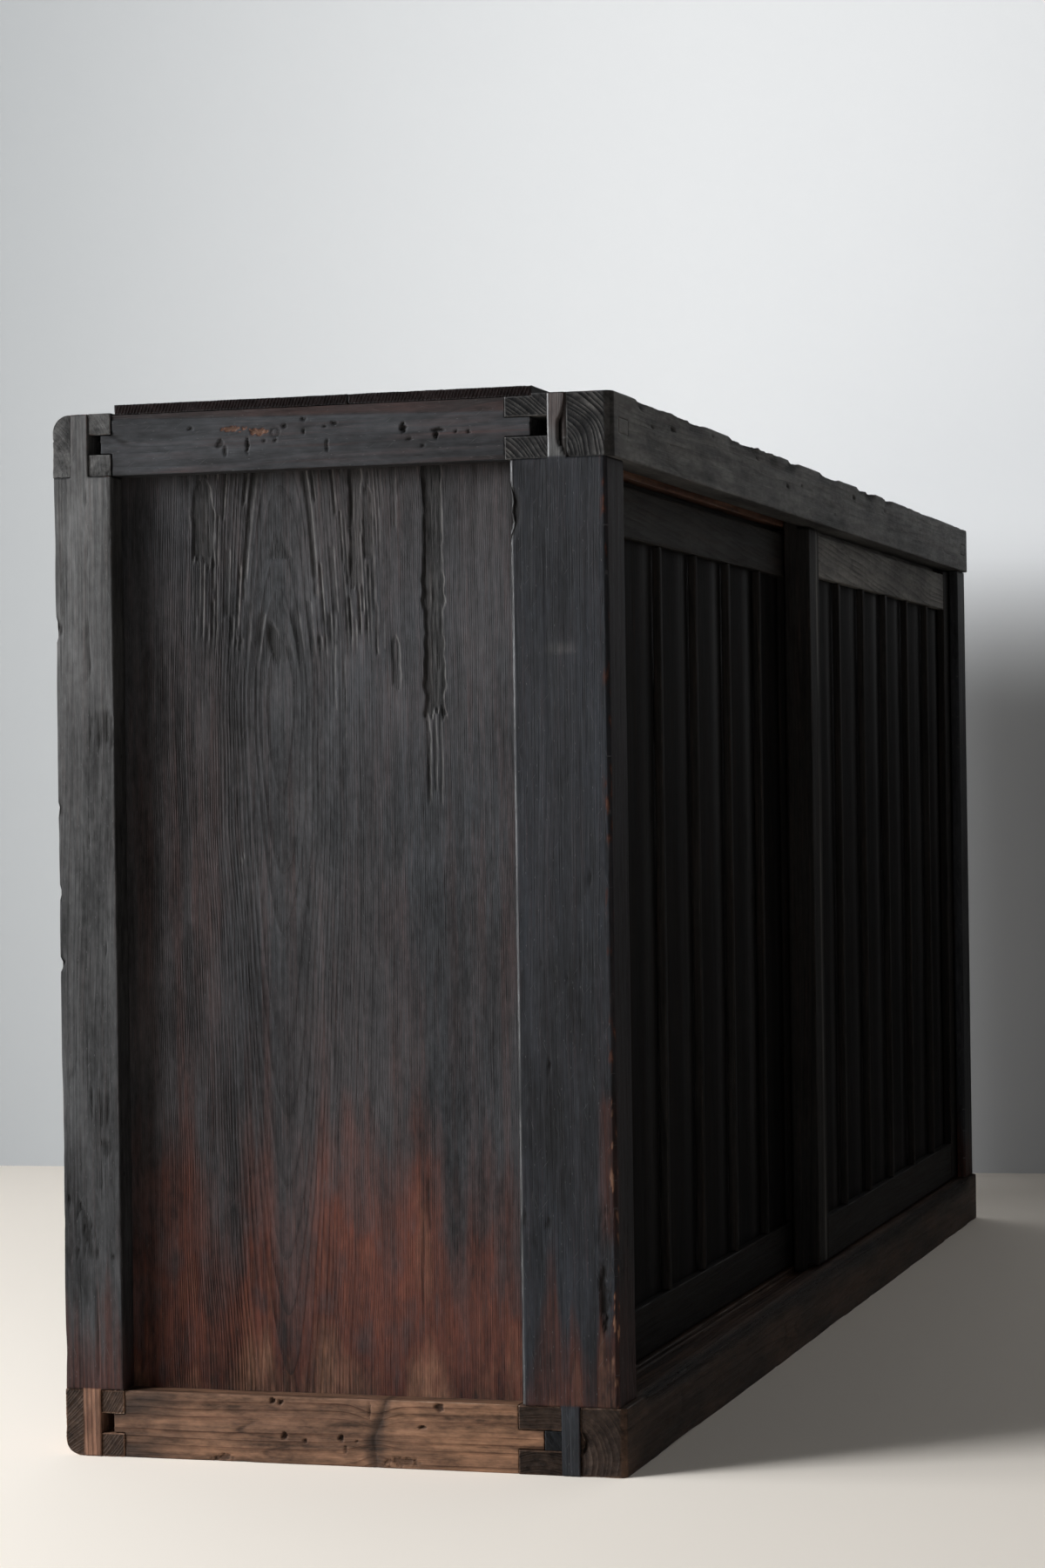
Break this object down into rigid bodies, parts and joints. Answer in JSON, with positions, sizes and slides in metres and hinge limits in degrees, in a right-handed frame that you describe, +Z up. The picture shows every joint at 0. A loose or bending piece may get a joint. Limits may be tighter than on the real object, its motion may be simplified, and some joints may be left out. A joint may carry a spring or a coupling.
{
  "type": "tansu chest",
  "caption": "Long low Japanese storage chest: a pegged corner-post frame with board sides and top, and two ribbed doors that slide past each other in grooved rails.",
  "frame": {"origin": "on the floor, under the middle of the chest", "axes": "+X along the length to the right as seen from the doors, the doors face -Y, +Z up"},
  "size_m": [1.818, 0.507, 0.916],
  "materials": {
    "frame_wood": "smoke-black softwood, weathered grey, worn to brown on the arrises",
    "foot_wood": "smoke-brown softwood, rubbed near the floor",
    "board_wood": "charred and brushed softwood with raised grain, reddish brown towards the foot",
    "inner_wood": "unfinished aged softwood",
    "wedge_wood": "smooth slate-grey filler block",
    "door_wood": "smoke-black softwood with a dull shine",
    "door_board_wood": "smoke-black boards with a soft shine"
  },
  "bodies": {
    "carcass": {"left_front_post": "frame_wood", "right_front_post": "frame_wood", "left_back_post": "frame_wood", "right_back_post": "frame_wood", "front_top_rail": "frame_wood", "back_top_rail": "frame_wood", "left_top_side_rail": "frame_wood", "right_top_side_rail": "frame_wood", "rail_pegs": "frame_wood", "front_bottom_rail": "foot_wood", "back_bottom_rail": "foot_wood", "left_bottom_side_rail": "foot_wood", "right_bottom_side_rail": "foot_wood", "left_side_panel": "board_wood", "right_side_panel": "board_wood", "front_top_board": "board_wood", "back_top_board": "board_wood", "back_board_1": "board_wood", "back_board_2": "board_wood", "back_board_3": "board_wood", "back_board_4": "board_wood", "back_board_5": "board_wood", "front_floor_board": "inner_wood", "back_floor_board": "inner_wood", "top_bearer_1": "inner_wood", "top_bearer_2": "inner_wood", "top_bearer_3": "inner_wood", "floor_bearer_1": "inner_wood", "floor_bearer_2": "inner_wood", "floor_bearer_3": "inner_wood", "floor_bearer_4": "inner_wood", "back_middle_stud": "inner_wood", "left_shelf_cleat": "inner_wood", "right_shelf_cleat": "inner_wood", "front_shelf_rail": "inner_wood", "back_shelf_rail": "inner_wood", "front_shelf_board": "inner_wood", "back_shelf_board": "inner_wood", "joint_wedge": "wedge_wood"},
    "left_door": {"left_door_left_stile": "door_wood", "left_door_right_stile": "door_wood", "left_door_top_rail": "door_wood", "left_door_bottom_rail": "door_wood", "left_door_boards": "door_board_wood", "left_door_rib_1": "door_wood", "left_door_rib_2": "door_wood", "left_door_rib_3": "door_wood", "left_door_rib_4": "door_wood", "left_door_rib_5": "door_wood"},
    "right_door": {"right_door_left_stile": "door_wood", "right_door_right_stile": "door_wood", "right_door_top_rail": "door_wood", "right_door_bottom_rail": "door_wood", "right_door_boards": "door_board_wood", "right_door_rib_1": "door_wood", "right_door_rib_2": "door_wood", "right_door_rib_3": "door_wood", "right_door_rib_4": "door_wood", "right_door_rib_5": "door_wood"}
  },
  "joints": [
    {"name": "left_door_slide", "type": "slide", "parent": "carcass", "child": "left_door", "axis": [1, 0, 0], "range_m": [0, 0.818]},
    {"name": "right_door_slide", "type": "slide", "parent": "carcass", "child": "right_door", "axis": [-1, 0, 0], "range_m": [0, 0.818]}
  ]
}
